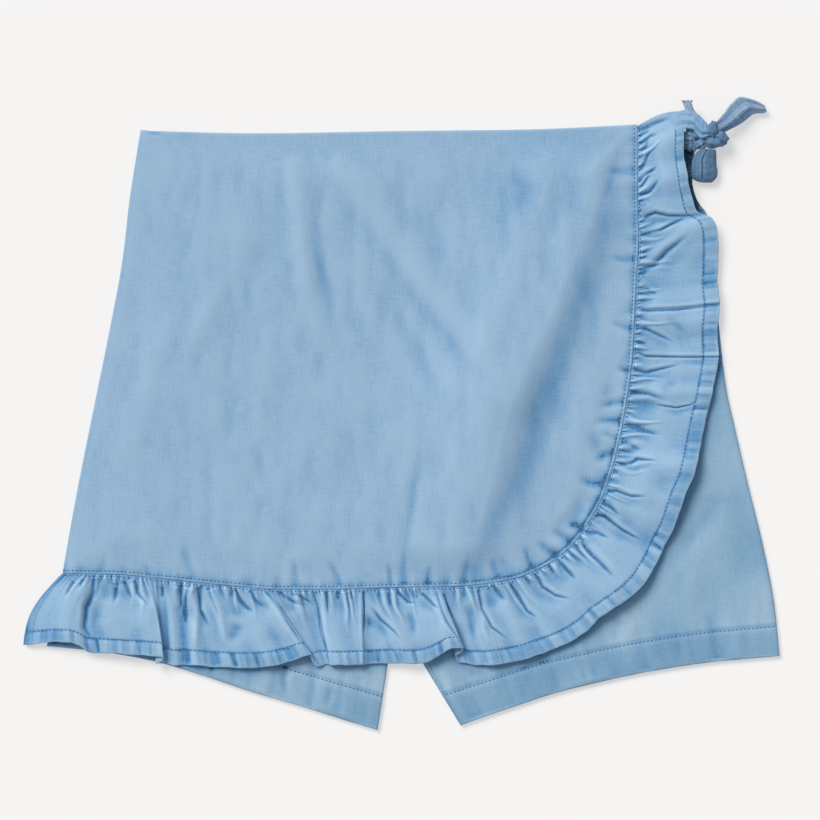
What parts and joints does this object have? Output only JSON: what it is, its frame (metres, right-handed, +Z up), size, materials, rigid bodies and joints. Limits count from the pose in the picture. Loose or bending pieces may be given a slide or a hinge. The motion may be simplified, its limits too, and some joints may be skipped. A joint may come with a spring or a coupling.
{
  "type": "ruffle wrap skort",
  "caption": "Child's chambray wrap skort laid flat: shorts under a wrap panel with a gathered ruffle round its rounded corner, tied at one hip.",
  "frame": {"origin": "centre of the laid garment's outline, on the plane it lies on", "axes": "+Z up out of the cloth; +Y towards the waist; +X towards the wearer's left hip, where the tie is"},
  "size_m": [0.4081, 0.341, 0.0112],
  "materials": {
    "overskirt_cloth": "matte",
    "shorts_cloth": "matte",
    "tie_cloth": "matte"
  },
  "bodies": {
    "root": {"shorts_front_right_leg": "shorts_cloth", "shorts_front_left_leg": "shorts_cloth", "shorts_back_right_leg": "shorts_cloth", "shorts_back_left_leg": "shorts_cloth", "back_waistband": "shorts_cloth", "wrap_panel": "overskirt_cloth", "ruffle_hem_run": "overskirt_cloth", "ruffle_corner_run": "overskirt_cloth", "ruffle_side_run": "overskirt_cloth", "tie_strap": "tie_cloth", "tie_frayed_end": "tie_cloth", "tie_tail": "tie_cloth", "tie_loop": "tie_cloth", "tie_bunched_end": "tie_cloth", "tie_knot": "tie_cloth"}
  },
  "joints": []
}
